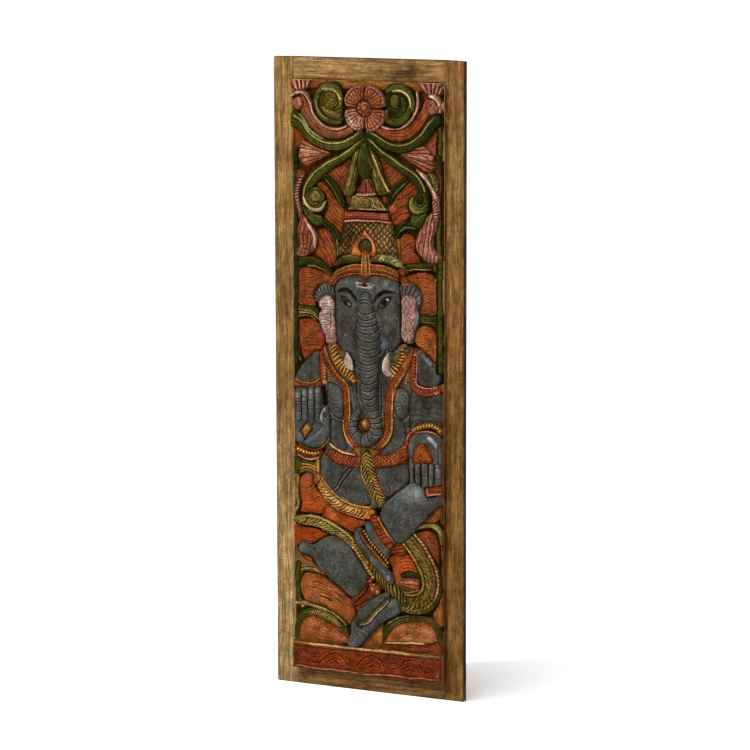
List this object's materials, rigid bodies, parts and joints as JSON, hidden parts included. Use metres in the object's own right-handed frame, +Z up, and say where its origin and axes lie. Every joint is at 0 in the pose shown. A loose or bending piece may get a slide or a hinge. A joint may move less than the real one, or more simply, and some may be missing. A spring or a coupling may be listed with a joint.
{
  "type": "carved wood panel",
  "caption": "Tall framed wall panel, carved in relief and painted, with a seated elephant-headed figure under scrolling foliage on a plinth band.",
  "frame": {"origin": "centre of the flat back, where the panel meets the wall", "axes": "+Z up along the panel's height, -Y out of the carved face, +X to the right as the carving is seen from the front"},
  "size_m": [0.304, 0.025, 0.914],
  "materials": {
    "painted_carving": "hand-rubbed distressed paint in grey, rust orange, rose, olive green and gold over dark stained wood, satin wax",
    "frame_wood": "streaked brown stain over light wood, rubbed through, satin wax, nearly black on the outer edges"
  },
  "bodies": {
    "root": {"carved_panel": "painted_carving", "stile_left": "frame_wood", "stile_right": "frame_wood", "rail_top": "frame_wood", "rail_bottom": "frame_wood"}
  },
  "joints": []
}
